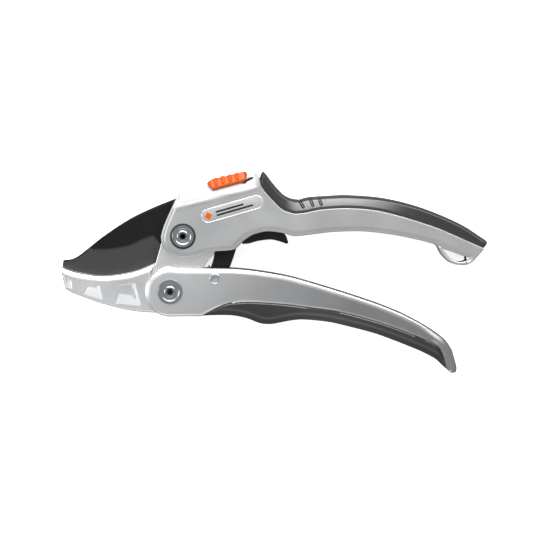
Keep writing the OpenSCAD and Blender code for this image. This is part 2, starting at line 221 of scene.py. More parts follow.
def rows_across(height, edge, middle):
    """Fractions across a strip: rows at the edge distances from both rails, then even ones."""
    edge = np.asarray(edge, float)
    fit = np.minimum(1, 0.36 * height / edge[-1])[:, None]
    near = edge[None] * fit / np.maximum(height, 1e-6)[:, None]
    inner = near[:, -1:]
    even = inner + (1 - 2 * inner) * np.linspace(0, 1, middle + 2)[None, 1:-1]
    return np.hstack([near, even, 1 - near[:, ::-1]])


def strip(parts, edge, middle):
    """Grid between two rails, and its closed rim. A part is (lower curve, upper curve, columns)."""
    lower, upper = (
        np.vstack([resample(p[rail], p[2] + 1)[:-1] for p in parts] + [parts[-1][rail][-1:]])
        for rail in (0, 1))
    across = rows_across(np.hypot(*(upper - lower).T), edge, middle)
    grid = lower[:, None] + (upper - lower)[:, None] * across[..., None]
    return grid, np.vstack([lower, upper[::-1], lower[:1]])


def border_of(index):
    """The indices round a grid's border, in order."""
    return np.concatenate([index[:-1, 0], index[-1, :-1], index[:0:-1, -1], index[0, :0:-1]])


def shell_between(grid, front, back):
    """Closed shell over a plan grid, from the back heights to the front ones."""
    columns, rows = grid.shape[:2]
    size = columns * rows
    top = np.dstack([grid, front]).reshape(-1, 3)
    low = np.dstack([grid, back]).reshape(-1, 3)
    border = border_of(np.arange(size).reshape(columns, rows))
    after = np.roll(border, -1)
    walls = np.stack([border, after, after + size, border + size], 1).tolist()
    faces = grid_faces(columns, rows) + grid_faces(columns, rows, size) + walls
    return np.vstack([top, low]), faces


def symmetric(grid, front):
    """A shell over a plan grid with the same heights on both sides of the middle plane."""
    return Shells().add(*shell_between(grid, front, -front))


def cheek(grid, front, inner):
    """Closed shell over a plan grid with a flat inner side, capped by one face."""
    columns, rows = grid.shape[:2]
    size = columns * rows
    border = border_of(np.arange(size).reshape(columns, rows))
    top = np.dstack([grid, front]).reshape(-1, 3)
    low = top[border].copy()
    low[:, 2] = inner
    ring = size + np.arange(len(border))
    walls = np.stack([border, np.roll(border, -1), np.roll(ring, -1), ring], 1).tolist()
    return np.vstack([top, low]), grid_faces(columns, rows) + walls + [ring[::-1].tolist()]


def mirrored(points):
    """The same points on the other side of the middle plane."""
    return points * np.array([1, 1, -1])


def inset(outline, by):
    """Closed outline moved inwards, each corner along the middle of its two sides."""
    side = np.roll(outline, -1, 0) - outline
    side /= np.maximum(np.hypot(*side.T), 1e-9)[:, None]
    area = (outline[:, 0] * np.roll(outline[:, 1], -1)
            - np.roll(outline[:, 0], -1) * outline[:, 1]).sum()
    normal = np.stack([-side[:, 1], side[:, 0]], 1) * np.sign(area)
    before = np.roll(normal, 1, 0)
    bend = 1 + (normal * before).sum(1, keepdims=True)
    return outline + by * (normal + before) / np.maximum(bend, 0.5)


def plate(outline, low, high, r=0.0, r_low=None, steps=4):
    """Closed plate: the outline runs up its wall and over a quarter-round, capped flat."""
    r_low = r if r_low is None else r_low
    turn = np.linspace(0, math.pi / 2, steps + 1)
    rings = [(r_low - r_low * math.sin(t), low + r_low - r_low * math.cos(t)) for t in turn]
    rings += [(r - r * math.cos(t), high - r + r * math.sin(t)) for t in turn]
    layers = [np.column_stack([inset(outline, by), np.full(len(outline), z)]) for by, z in rings]
    count = len(outline)
    last = (len(rings) - 1) * count
    faces = grid_faces(len(rings), count, closed=True)
    faces.append(list(range(count))[::-1])
    faces.append([last + i for i in range(count)])
    return np.vstack(layers), faces


def turned(profile, centre, around=96, lobes=None):
    """Profile of (radius, height) turned about Z; lobes(radius, angle) may scale the radius."""
    profile = np.asarray(profile, float)
    a = np.linspace(0, 2 * math.pi, around, endpoint=False)
    r = profile[:, :1] * np.ones_like(a)[None]
    if lobes is not None:
        r = r * lobes(profile[:, :1], a[None])
    points = np.dstack([centre[0] + r * np.cos(a), centre[1] + r * np.sin(a),
                        profile[:, 1:2] * np.ones_like(r)]).reshape(-1, 3)
    return points, grid_faces(len(profile), around, closed=True)


def wire(path, radius, sides=10):
    """Round wire along a path: rings square to the path, with domed ends closed to a point."""
    path = np.asarray(path, float)
    ahead = np.gradient(path, axis=0)
    ahead /= np.linalg.norm(ahead, axis=1, keepdims=True)
    ref = np.where(np.abs(ahead[:, 2:]) > 0.9, [[1.0, 0, 0]], [[0, 0, 1.0]])
    u = np.cross(ahead, ref)
    u /= np.linalg.norm(u, axis=1, keepdims=True)
    v = np.cross(ahead, u)
    b = np.linspace(0, 2 * math.pi, sides, endpoint=False)
    size = np.full(len(path), radius)
    size[[0, -1]] = 1e-6
    rings = path[:, None] + size[:, None, None] * (
        np.cos(b)[None, :, None] * u[:, None] + np.sin(b)[None, :, None] * v[:, None])
    return rings.reshape(-1, 3), grid_faces(len(path), sides, closed=True)


def coil_path(centre, r, pitch, turns, start, z):
    """Helix that rises by pitch a turn from height z."""
    a = np.linspace(0, 2 * math.pi * turns, int(40 * turns))
    return np.stack([centre[0] + r * np.cos(a + start), centre[1] + r * np.sin(a + start),
                     z + pitch * a / (2 * math.pi)], 1)


# ---------------------------------------------------------------- materials


class Value:
    """A shader number. Arithmetic on it adds Math nodes."""

    def __init__(self, look, socket):
        self.look, self.socket = look, socket

    def _math(self, operation, *values):
        return self.look.node("ShaderNodeMath", {"operation": operation}, dict(enumerate(values)))

    def __add__(self, other):
        return self._math("ADD", self, other)

    def __rsub__(self, other):
        return self._math("SUBTRACT", other, self)

    def __mul__(self, other):
        return self._math("MULTIPLY", self, other)


class Look:
    """A procedural material: a Principled shader and the nodes that feed it."""

    def __init__(self, name, **constants):
        self.material = bpy.data.materials.new(name)
        self.material.use_nodes = True
        self.tree = self.material.node_tree
        self.shader = self.tree.nodes["Principled BSDF"]
        for socket, value in constants.items():
            self.shader.inputs[socket.replace("_", " ")].default_value = value
        self.place = self.node("ShaderNodeTexCoord", output="Object")

    def node(self, kind, settings=None, inputs=None, output=0):
        made = self.tree.nodes.new(kind)
        for key, value in (settings or {}).items():
            setattr(made, key, value)
        for key, value in (inputs or {}).items():
            if isinstance(value, Value):
                self.tree.links.new(value.socket, made.inputs[key])
            else:
                made.inputs[key].default_value = value
        return Value(self, made.outputs[output])

    def along_x(self, low, high):
        """0 up to low and 1 from high, in metres along X."""
        x = self.node("ShaderNodeSeparateXYZ", None, {0: self.place}, output="X")
        return self.clamp(x, low, high)

    def attribute(self, name):
        return self.node("ShaderNodeAttribute", {"attribute_name": name}, output="Fac")

    def noise(self, scale, detail=3.0, rough=0.5, stretch=None):
        vector = self.place
        if stretch:
            vector = self.node("ShaderNodeMapping", None, {"Vector": vector, "Scale": stretch})
        return self.node("ShaderNodeTexNoise", None, {
            "Vector": vector, "Scale": scale, "Detail": detail, "Roughness": rough})

    def blend(self, factor, a, b):
        """Colour a where factor is 0 and b where it is 1."""
        return self.node("ShaderNodeMix", {"data_type": "RGBA"}, {0: factor, 6: a, 7: b}, 2)

    def clamp(self, value, low, high):
        """0 up to low and 1 from high."""
        return self.node("ShaderNodeMapRange", None,
                         {0: value, 1: low, 2: high, 3: 0.0, 4: 1.0})

    def set(self, socket, value):
        self.tree.links.new(value.socket, self.shader.inputs[socket])
        return self

    def bump(self, height, strength, distance):
        return self.set("Normal", self.node("ShaderNodeBump", None, {
            "Height": height, "Strength": strength, "Distance": distance}))

    def edge_wear(self, low, high):
        """1 on convex edges, from the mesh's pointiness."""
        return self.clamp(self.node("ShaderNodeNewGeometry", output="Pointiness"), low, high)


def grey(v):
    return (v, v, v, 1.0)


def cast_metal(name, tone, rough, grain=0.12, front_lit_tone=None):
    """Cast aluminium: fine blasted grain, cloudy roughness and slightly brighter worn edges.

    front_lit_tone is the tone that it has towards the front: a painted light, lighter there as if lit more
    strongly.
    """
    look = Look(name, Metallic=1.0)
    cloud = look.noise(60, 4)
    grit = look.noise(2600, 2)
    shade = look.clamp(cloud, 0.3, 0.7)
    base = look.blend(shade, grey(tone * 0.96), grey(min(tone * 1.04, 1)))
    # painted light: where a front tone is given, the colour lightens towards the front end
    if front_lit_tone:
        base = look.blend(look.along_x(-0.055, 0.04), grey(front_lit_tone), base)
    look.set("Base Color", look.blend(look.edge_wear(0.52, 0.6), base, grey(min(tone * 1.12, 1))))
    look.set("Roughness", shade * 0.06 + (grit * 0.06 + (rough - 0.06)))
    return look.bump(grit, grain, 0.00004).material


def turned_steel(name, centre):
    """Bright steel with fine lathe rings about a centre in millimetres, with painted shade inside its socket."""
    look = Look(name, Metallic=1.0)
    shift = look.node("ShaderNodeMapping", None,
                      {"Vector": look.place, "Location": tuple(-place([*centre, 0]))})
    rings = look.node("ShaderNodeTexWave", {"wave_type": "RINGS", "rings_direction": "Z"},
                      {"Vector": shift, "Scale": 520, "Distortion": 0.6, "Detail": 1.0})
    cloud = look.noise(220, 3)
    base = look.blend(rings, (0.20, 0.215, 0.22, 1), (0.62, 0.64, 0.65, 1))
    # painted shade: the socket's inside is coloured near black
    look.set("Base Color", look.blend(look.attribute("socket_shade"), base, grey(0.03)))
    look.set("Roughness", cloud * 0.1 + (rings * 0.08 + 0.08))
    return look.bump(rings, 0.25, 0.00004).material


def soft_rubber(name):
    """Dark soft rubber: a fine moulded grain and slow changes in tone, shinier where it is held."""
    look = Look(name, Specular_IOR_Level=1.0, Coat_Roughness=0.3)
    cloud = look.noise(45, 4)
    grain = look.noise(3200, 2)
    base = look.blend(look.clamp(cloud, 0.3, 0.7), grey(0.007), grey(0.012))
    look.set("Base Color", look.blend(look.edge_wear(0.53, 0.62), base, grey(0.02)))
    look.set("Roughness", cloud * 0.10 + (grain * 0.08 + 0.25))
    held = look.along_x(0.0, 0.02) * (1 - look.along_x(0.03, 0.07))
    look.set("Coat Weight", held * 0.75)
    return look.bump(grain, 0.16, 0.00005).material


def coated_steel(name, tone, rough, ground=0.0):
    """Black coating on steel: faint brushing beneath it, and thin wear at the edges.

    ground is the tone of the ground bevel, where the piece has one: a paler tone there, which is a painted
    highlight.
    """
    look = Look(name, Specular_IOR_Level=0.28)
    brushed = look.noise(900, 3, 0.6, (1, 14, 1))
    cloud = look.noise(70, 4)
    base = look.blend(look.clamp(cloud, 0.3, 0.7), grey(tone * 0.85), grey(tone * 1.2))
    base = look.blend(look.edge_wear(0.54, 0.66), base, grey(tone * 3))
    if ground:
        # painted highlight: the ground bevel is coloured paler than the coating
        pale = look.blend(brushed, grey(ground * 0.8), grey(ground * 1.2))
        base = look.blend(look.attribute("ground"), base, pale)
    look.set("Base Color", base)
    look.set("Roughness", cloud * 0.12 + (brushed * 0.1 + (rough - 0.1)))
    return look.bump(brushed, 0.08, 0.00004).material


def moulded(name, dark, light, rough):
    """Moulded plastic: a slight orange-peel surface and paler, rubbed edges."""
    look = Look(name, Specular_IOR_Level=0.35)
    cloud = look.noise(120, 3)
    peel = look.noise(1500, 2)
    base = look.blend(look.clamp(cloud, 0.35, 0.65), dark, light)
    rubbed = tuple(min(c * 1.35 + 0.02, 1) for c in light[:3]) + (1,)
    look.set("Base Color", look.blend(look.edge_wear(0.53, 0.62), base, rubbed))
    look.set("Roughness", cloud * 0.1 + (peel * 0.06 + (rough - 0.08)))
    return look.bump(peel, 0.08, 0.00005).material


def tinted_metal(name, colour, rough):
    """Plain machined metal with faint draw lines."""
    look = Look(name, Metallic=1.0)
    lines = look.noise(700, 3, 0.5, (1, 1, 9))
    low = tuple(c * 0.85 for c in colour) + (1,)
    look.set("Base Color", look.blend(look.clamp(lines, 0.3, 0.7), low, tuple(colour) + (1,)))
    look.set("Roughness", lines * 0.15 + (rough - 0.07))
    return look.bump(lines, 0.1, 0.00003).material


MATERIALS = {
    "cast_bright": cast_metal("bright_casting", 0.93, 0.36),
    "cast_satin": cast_metal("satin_casting", 0.60, 0.46, 0.2),
    # the smooth casting gets a painted light: its colour lightens from 0.42 to 0.93 towards its front
    "cast_smooth": cast_metal("smooth_casting", 0.42, 0.3, 0.03, 0.93),
    "soft_pad": soft_rubber("soft_pad"),
    "badge_face": cast_metal("badge_plate", 0.83, 0.38, 0.05),
    "bolt_steel": tinted_metal("plain_steel", (0.62, 0.63, 0.64), 0.3),
    "ring_black": moulded("ring_black", grey(0.006), grey(0.012), 0.4),
    "bush_bronze": tinted_metal("bush_bronze", (0.62, 0.44, 0.22), 0.35),
    "washer_steel": tinted_metal("washer_steel", (0.5, 0.51, 0.52), 0.35),
    "blade_coating": coated_steel("blade_coating", 0.0045, 0.38, 0.05),
    "strut_coating": coated_steel("strut_coating", 0.009, 0.42),
    "spring_steel": tinted_metal("spring_steel", (0.10, 0.10, 0.105), 0.35),
    "lock_orange": moulded("lock_orange", (0.66, 0.085, 0.0015, 1), (0.74, 0.105, 0.002, 1), 0.3),
    "trigger_black": moulded("trigger_black", grey(0.003), grey(0.006), 0.42),
}


def mark(piece, attribute, rule):
    """Stores rule(vertices in millimetres) on a piece, for its material to read."""
    spots = np.empty(len(piece.data.vertices) * 3)
    piece.data.vertices.foreach_get("co", spots)
    values = rule((spots.reshape(-1, 3) - PIVOT) / MM).astype(float)
    piece.data.attributes.new(attribute, "FLOAT", "POINT").data.foreach_set("value", values)


def finish_piece(piece, body, slot, nodes=(), material=None):
    """Gives a piece its body, slot and finish, and hides the nodes that it stands for."""
    piece.data.materials.append(material or MATERIALS[slot])
    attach(piece, body)
    if nodes:
        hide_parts(*nodes)


# ---------------------------------------------------------------- outlines

NOSE = -60.85
HEEL = -14.0


def on_nose(pairs):
    """Fractions from the heel to the nose, with heights, turned into places."""
    p = np.asarray(pairs, float)
    return np.column_stack([HEEL + p[:, 0] * (NOSE - HEEL), p[:, 1]])


edge_line = smooth(on_nose([[0, -13.4], [0.14, -16.25], [0.27, -18.05], [0.46, -19.5],
                            [0.61, -19.65], [0.81, -18.2], [0.91, -16.95], [0.997, -15.3]]))
spine_line = smooth(np.vstack([on_nose([[0.985, -12], [0.896, -11.5], [0.812, -9.55],
                                        [0.702, -5.45], [0.541, 0.45], [0.269, 8.8],
                                        [0.01, 14.6]]), [[-4, 18.8]]]))
lip_line = np.vstack([on_nose([[1, -18.65]]), smooth(on_nose([
    [0.98, -19.4], [0.865, -21.2], [0.734, -22.25], [0.573, -22.9], [0.412, -22.55],
    [0.269, -21.65], [0.05, -18.4]]))])
bar_bottom = smooth(on_nose([[0.954, -26.65], [0.864, -28.8], [0.734, -31], [0.573, -33.65],
                             [0.327, -36.6], [0.149, -37.85], [-0.01, -38.3]]))
POCKETS = [
    [[0.948, -20.9], [0.892, -21.65], [0.884, -26.8], [0.928, -26.15]],
    [[0.73, -24.2], [0.594, -24.4], [0.558, -31.9], [0.764, -29.05]],
    [[0.387, -24.55], [0.211, -23.4], [0.149, -34.95], [0.424, -33.65]],
]

head_low = smooth([[-11.1, -0.15], [-10.35, -4.4], [-7.3, -8.2], [-2.3, -10.25]])
head_high = smooth([[-11.1, -0.15], [-9.6, 5.2], [-6.15, 13.25], [-3.6, 18.95]])
head_crown = smooth([[-3.6, 18.95], [-1.1, 21.6], [1.6, 23.4], [5.35, 24.7]])
spine_top = line([5.35, 24.7], [37.5, 31.4])
head_chin = smooth([[-2.3, -10.25], [1.2, -10.5], [4.6, -10.25]])
head_under = smooth([[4.6, -10.25], [14.55, -7.8], [25.05, -6.7], [29.5, -3]])
knuckle = smooth([[29.5, -3], [34.6, 0.5], [41.9, 2.35], [49.15, 1.65], [55.05, 0]])
border_rise = smooth([[38.3, 28.95], [38.7, 26.15], [41, 22.35], [46.1, 16.7], [50.2, 13.15],
                      [55.8, 11.35]])
border_run = smooth([[55.8, 11.35], [61.4, 11.9], [69.45, 13.45], [83.5, 14.15], [97.5, 12.75],
                     [111.55, 9.25], [125.55, 4.7], [130.35, 2.8], [142.3, -2.45],
                     [150.45, -6.05]])
grip_under = smooth([[55.05, 0], [58.85, 0.25], [66.5, 1.15], [75.9, 2.2], [90, 2.4],
                     [104, 0.8], [117.2, -1.8], [125.55, -4.1]])
eyelet_chord = smooth([[125.55, -4.1], [130.6, -6.4], [136, -8.3], [142.1, -10.6]])
eyelet_lip = smooth([[142.1, -10.6], [141.9, -11.4], [141.3, -12.6], [142, -14.1]])
eyelet_back = smooth([[142, -14.1], [144.6, -12.5], [149.25, -7.45], [150.45, -6.05]])
eyelet_outside = smooth([[126.2, -4.3], [127.25, -5.55], [129.15, -9.15], [132.75, -12.75],
                         [136.35, -14.15], [141.1, -14.4], [143.2, -13.5]])
eyelet_inside = smooth([[128.9, -5.2], [130.8, -8.1], [133.3, -10.8], [136, -12.2],
                        [138.6, -12.7], [140.8, -12.3], [142.6, -11.4]])
pad_front = smooth([[38.3, 28.95], [38.9, 31.3], [40.05, 32.3], [41.4, 31.1], [43.3, 28.45],
                    [46.85, 24.1], [50.2, 20.8], [53.75, 19], [57.85, 18.3]])
pad_crest = smooth([[57.85, 18.3], [62, 19.5], [67.6, 20], [75.9, 20.5], [82.05, 20.65],
                    [97.5, 19.5], [111.55, 16.6], [125.55, 11.95], [139.6, 5.6], [148.5, -0.1],
                    [151.35, -2.0], [152.1, -3.1], [151.8, -4.2], [150.45, -6.05]])

lower_top = smooth([[-6.35, -15.1], [-1.6, -15.45], [4, -15.7], [12.3, -15.75], [24.25, -15.85],
                    [36.25, -16.95], [50.6, -19.35], [60.5, -21.9], [78.7, -27.35],
                    [96.85, -33.4], [109, -38.25]])
lower_bend = smooth([[109, -38.25], [121.1, -44.65], [130.2, -51], [134.45, -56.8]])
lower_end = smooth([[134.45, -56.8], [136.35, -63.65], [136.8, -66.4], [136.3, -68.1]])
lower_foot = smooth([[-6.35, -40.1], [-1.3, -40], [4, -39.95], [9, -39.95]])
lower_border = smooth([[9, -39.95], [17.1, -35.85], [21.9, -33.95], [29.05, -32.75],
                       [36.25, -32.75], [50.6, -33.8], [63.4, -35.4], [78.7, -37.65],
                       [96.85, -42.5], [109, -46.75]])
lower_border_end = smooth([[109, -46.75], [119.15, -50.9], [124.9, -53.75], [127.55, -56.85],
                           [130.25, -62], [132.35, -66.95]])
lower_tip = smooth([[132.35, -66.95], [133.2, -68], [134.25, -68.3], [136.3, -68.1]])
pad_under = smooth([[9, -39.95], [17.6, -39.65], [25.25, -39.9], [32.15, -41.4],
                    [38.25, -43.7], [43.6, -44.2], [48.9, -43.3], [54.45, -42.3], [60.5, -41.9],
                    [72.65, -43.1], [84.75, -45.85], [96.85, -49.15], [109, -53.65]])
pad_under_end = smooth([[109, -53.65], [117.25, -57], [122.95, -59.7], [126.8, -62],
                        [130.2, -65.2], [132.35, -66.95]])


def cut(curve, x):
    """The stretches of a curve before and after a place along X."""
    at = int(np.argmin(np.abs(curve[:, 0] - x)))
    return curve[: at + 1], curve[at:]


# ---------------------------------------------------------------- pieces

# Distances from the edge, where the rows of a casting and of a pad lie closer together
FINE = [0, 0.05, 0.2, 0.45, 0.8, 1.2, 1.7, 2.3, 2.6, 3.0]
PAD_ROWS = [0, 0.03, 0.12, 0.3, 0.6, 1.0]


def facet_fall(points):
    """Distance above the head's fold line, and how far the top facet lies below the face.

    Distance d gives a fall of 0.2 d + 0.0085 d^2, which fades out behind the lock.
    """
    fold = (points[..., 1] - FOLD_AT[1]) * math.cos(FOLD_TURN) - (
        points[..., 0] - FOLD_AT[0]) * math.sin(FOLD_TURN)
    above = np.maximum(fold, 0)
    fall = (0.2 * above + 0.0085 * above**2) * (1 - step_up(35, 39.5, points[..., 0]))
    return fold, fall


def upper_casting():
    """Two cheeks with a rim and a sloping top facet, a core between them, and the eyelet strap.

    Height = face, less the facet's slope above the fold, a rim step near the lower outline and a
    quarter-round at the edge.
    """
    rise_a, rise_b = cut(border_run, 125.55)
    tail_a, tail_b = cut(rise_b, 139.5)
    tail_b, tail_c = cut(tail_b, 143.5)
    parts = [
        (head_low, head_high, 36), (head_chin, head_crown, 14), (head_under, spine_top, 46),
        (cut(knuckle, 32)[0], line([37.5, 31.4], [38.3, 28.95]), 6),
        (cut(knuckle, 32)[1], border_rise, 44), (grip_under, rise_a, 90),
        (eyelet_chord, tail_a, 26), (eyelet_lip, tail_b, 8), (eyelet_back, tail_c, 16),
    ]
    grid, rim = strip(parts, FINE, 30)
    open_side = np.vstack([head_high[::-1], head_low, head_chin, head_under, knuckle, grip_under,
                           eyelet_chord])
    far = distance(grid, rim)
    side = distance(grid, open_side)
    fold, facet = facet_fall(grid)
    ridge = 0.2 * np.exp(-(((fold + 0.1) / 0.35) ** 2))
    facet = facet - ridge * (1 - step_up(36, 38, grid[..., 0])) * step_up(1.5, 3, side)
    step = 0.4 * (1 - step_up(1.7, 2.3, side))
    edge = np.where(side < 1.5, round_over(side, 1.0), round_over(far, 0.5))
    slot = distance(grid, line((30.3, 27.2), (34.3, 29.0)))
    groove = 2.6 * (1 - step_up(0.25, 0.5, slot))
    front = HEAD - facet - step - edge - groove
    shells = Shells().both_sides(*cheek(grid, front, WEB_OUT))
    roof = 3.1 / math.cos(SPINE_TURN)
    hollow = [[56.3, 0.2], [56.3, 7.6], [50, 9.4], [44, 14], [37, 23], [35.7, 27.9],
              SPINE_AT - [0, roof]]
    core = np.vstack([
        cut(head_crown, -1.1)[1], spine_top, border_rise[::3], border_run[::3],
        eyelet_back[::-3], eyelet_lip[::-3], eyelet_chord[::-3],
        grip_under[::-3], hollow, arc(O, 20.3, 80, 93, 6)])
    shells.add(*plate(tidy(core), -WEB_OUT, WEB_OUT))
    strap, loop = strip([(eyelet_outside, eyelet_inside, 60)], [0, 0.05, 0.15, 0.3, 0.5], 6)
    face = HEAD - 0.7 - round_over(distance(strap, loop), 0.7)
    shells.add(*shell_between(strap, face, -face))
    finish_piece(shells.piece("upper_casting"), "frame", "cast_satin", ["upper_handle"])


def tidy(outline):
    """Closed outline without repeated points."""
    gap = np.hypot(*(outline - np.roll(outline, 1, 0)).T)
    return outline[gap > 1e-3]


def upper_pad():
    """Soft saddle over the grip, with a seam along the casting and three thumb grooves.

    Height = half depth, less a slope from the seam that is strongest in the middle stretch, times
    a superellipse over the back, less the seam's roll and the grooves.
    """
    parts = [
        (cut(border_rise, 40.5)[0], cut(pad_front, 40.05)[0], 20),
        (cut(border_rise, 40.5)[1], cut(pad_front, 40.05)[1], 60),
        (cut(border_run, 72)[0], cut(pad_crest, 72)[0], 110),
        (cut(cut(border_run, 72)[1], 139.5)[0], cut(cut(pad_crest, 72)[1], 139.6)[0], 150),
        (cut(border_run, 139.5)[1], cut(pad_crest, 139.6)[1], 40),
    ]
    grid, _ = strip(parts, PAD_ROWS, 34)
    crest = distance(grid, np.vstack([pad_front, pad_crest]))
    seam = distance(grid, np.vstack([border_rise, border_run]))
    x = grid[..., 0]
    tail = step_up(84, 124, x)
    middle = step_up(47, 60, x) * (1 - tail)
    inner = np.clip(seam - 0.9, 0, 6.5)
    slope = (0.12 + 0.88 * middle) * (0.42 * inner + 0.02 * inner**2)
    front = (PAD - slope) * rounded_back(crest, 1.8, 2.2)
    front = front - 0.9 * (1 - step_up(0, 1.3, seam)) * (front / PAD)
    for start, stop in [((57.6, 19.0), (59.9, 14.6)), ((62.9, 20.0), (64.7, 15.3)),
                        ((67.2, 20.3), (69.0, 15.8))]:
        off = distance(grid, line(start, stop))
        front = front - 1.7 * (1 - step_up(0.2, 0.8, off)) * step_up(0, 2.5, front)
    piece = symmetric(grid, front).piece("upper_pad")
    finish_piece(piece, "frame", "soft_pad", ["upper_grip"])


def lower_casting():
    """Two cheeks with a broad chamfer round the outline, and the core that closes their channel.

    Height = face, less the chamfer, a shallow crown and a quarter-round at the edge, plus a bead
    along the pad. The back cheek dips round the lower nut.
    """
    top_a, top_rest = cut(lower_top, 9)
    top_b, top_c = cut(top_rest, 36.25)
    border_a, border_b = cut(lower_border, 36.25)
    parts = [
        (arc(Q, FRONT_R, 180, 270), arc(Q, FRONT_R, 180, 90), 36), (lower_foot, top_a, 22),
        (border_a, top_b, 40), (border_b, top_c, 90), (lower_border_end, lower_bend, 44),
        (lower_tip, lower_end, 20),
    ]
    grid, rim = strip(parts, FINE, 26)
    far = distance(grid, rim)
    open_side = np.vstack([cut(lower_border, 24)[0][::-1], lower_foot[::-1],
                           arc(Q, FRONT_R, 270, 90, 48), lower_top, lower_bend, lower_end])
    side = distance(grid, open_side)
    x, y = grid[..., 0], grid[..., 1]
    seam = distance(grid, np.vstack([lower_border, lower_border_end]))
    side = np.minimum(side, seam + 2.3 * step_up(11, 22, x) * (1 - 0.85 * step_up(119, 128, x)))
    slope = np.clip(1 - side / 2.9, 0, 1)
    chamfer = (0.75 + 0.8 * step_up(117, 127, x)) * slope**1.25
    along = np.interp(x, lower_top[:, 0], lower_top[:, 1])
    centre = -17 + 15 * step_up(-5, 60, x)
    crown = 0.0036 * (np.clip(y - along, -22, 0) - centre) ** 2
    edge = np.where(side < 1.2, round_over(side, 1.1), round_over(far, 0.3))
    bead = 0.38 * np.clip(1 - seam / 0.85, 0, 1) * step_up(14, 20, x)
    front = np.minimum(PAD - 0.16 - chamfer - crown - edge + bead, PAD - 0.02)
    dish = 0.6 * (1 - step_up(6.8, 9.6, np.hypot(*(grid - Q).transpose(2, 0, 1))))
    shells = Shells().add(*cheek(grid, front, LOWER_IN))
    points, faces = cheek(grid, front - dish, LOWER_IN)
    shells.add(mirrored(points), faces)
    core = np.vstack([
        [[34, -29.6], [41, -17.6]], cut(lower_top, 41)[1][1::3], lower_bend[::3], lower_end[::3],
        lower_tip[::-3], lower_border_end[::-3], lower_border[::-3],
        [[4, -39.9], [0.6, -39.9]], arc(Q, 12.85, -60, -10, 8), [[7, -29.6]]])
    shells.add(*plate(tidy(core), -LOWER_IN, LOWER_IN))
    finish_piece(shells.piece("lower_casting"), "lower_lever", "cast_smooth", ["lower_handle"])


def lower_pad():
    """Soft pad under the lower handle, with a seam along the casting.

    Height = half depth times a superellipse over the underside, less the seam's roll.
    """
    parts = [
        (cut(pad_under, 36)[0], cut(lower_border, 36.25)[0], 60),
        (cut(pad_under, 36)[1], cut(lower_border, 36.25)[1], 110),
        (pad_under_end, lower_border_end, 60),
    ]
    grid, _ = strip(parts, PAD_ROWS, 34)
    under = distance(grid, np.vstack([pad_under, pad_under_end]))
    seam = distance(grid, np.vstack([lower_border, lower_border_end]))
    front = PAD * rounded_back(under, 6.5, 2.4)
    front = front - 0.75 * (1 - step_up(0, 0.8, seam)) * (front / PAD)
    piece = symmetric(grid, front).piece("lower_pad")
    finish_piece(piece, "lower_lever", "soft_pad", ["lower_grip"])


def pocket_depth(grid):
    """Depth of the three pockets, from the distance inside each side over that side's width.

    The widths are those of the top, rear, bottom and front walls. A pocket fades out downwards.
    """
    depth = np.zeros(grid.shape[:2])
    for corners, wall in zip(POCKETS, (0.9, 1.5, 2.1)):
        c = on_nose(corners)
        side = np.roll(c, -1, 0) - c
        side /= np.hypot(*side.T)[:, None]
        normal = np.stack([side[:, 1], -side[:, 0]], 1)
        widths = np.array([0.45, wall, 5.0, 0.6])
        inside = ((grid[:, :, None] - c) * normal).sum(-1) / widths
        depth = np.maximum(depth, 0.9 * np.clip(inside.min(-1), 0, 1))
    return depth


def anvil_casting():
    """Bar with rounded edges and pockets, its neck and boss, and the two side plates."""
    nose = on_nose([[1, -18.65], [0.99, -21], [0.954, -26.65]])
    lip_a, lip_b = cut(lip_line, -56)
    bar_a, bar_b = cut(bar_bottom, -55)
    parts = [(np.vstack([nose, bar_a[1:]]), lip_a, 30), (bar_b, lip_b, 300)]
    grid, _ = strip(parts, [0, 0.08, 0.3, 0.65, 1.1, 1.6], 86)
    far = distance(grid, np.vstack([nose, bar_bottom]))
    front = BAR - round_over(far, 1.5) - pocket_depth(grid)
    shells = symmetric(grid, front)
    web = np.vstack([
        smooth([[-13.9, -13.7], [-12.4, -8.6], [-11.2, -4.3], [-9.4, 3], [-5, 11], [2, 18.2],
                [8, 19.6], [14, 17], [17, 8], [17.2, -4], [15.05, -9.35], [12.3, -12.4],
                [10.5, -14.95], [7.6, -20], [4, -27]], 6), [[-15.5, -27], [-16.1, -18.9]]])
    shells.both_sides(*plate(web, WEB_IN, WEB_OUT, 0.45, 0.1))
    neck = line([-25, -25], [-18.5, -20.3], [-13.5, -17.6], [-9, -18], [-8, -34], [-13.2, -37.6],
                [-25, -35])
    shells.add(*plate(neck, -WEB_OUT, WEB_OUT))
    shells.add(*turned([[5, -WEB_OUT], [12.1, -WEB_OUT], [FRONT_R, -WEB_OUT + 0.4],
                        [FRONT_R, WEB_OUT - 0.4], [12.1, WEB_OUT], [5, WEB_OUT],
                        [5, -WEB_OUT]], Q))
    finish_piece(shells.piece("anvil_casting"), "frame", "cast_bright", ["anvil_body"])


def anvil_lip():
    """Strip that the edge lands on, with a full round along its height."""
    top = edge_line - [0, 0.3]
    grid, rim = strip([(lip_line[::-1], top, 150)], [0, 0.06, 0.2, 0.45, 0.8], 8)
    fall = np.clip(1 - distance(grid, top) / 2.9, 0, 1)
    front = LIP - 0.8 * fall**1.3 - round_over(distance(grid, rim), 0.5)
    piece = symmetric(grid, front).piece("anvil_lip")
    finish_piece(piece, "frame", "cast_bright", ["anvil_plate"])


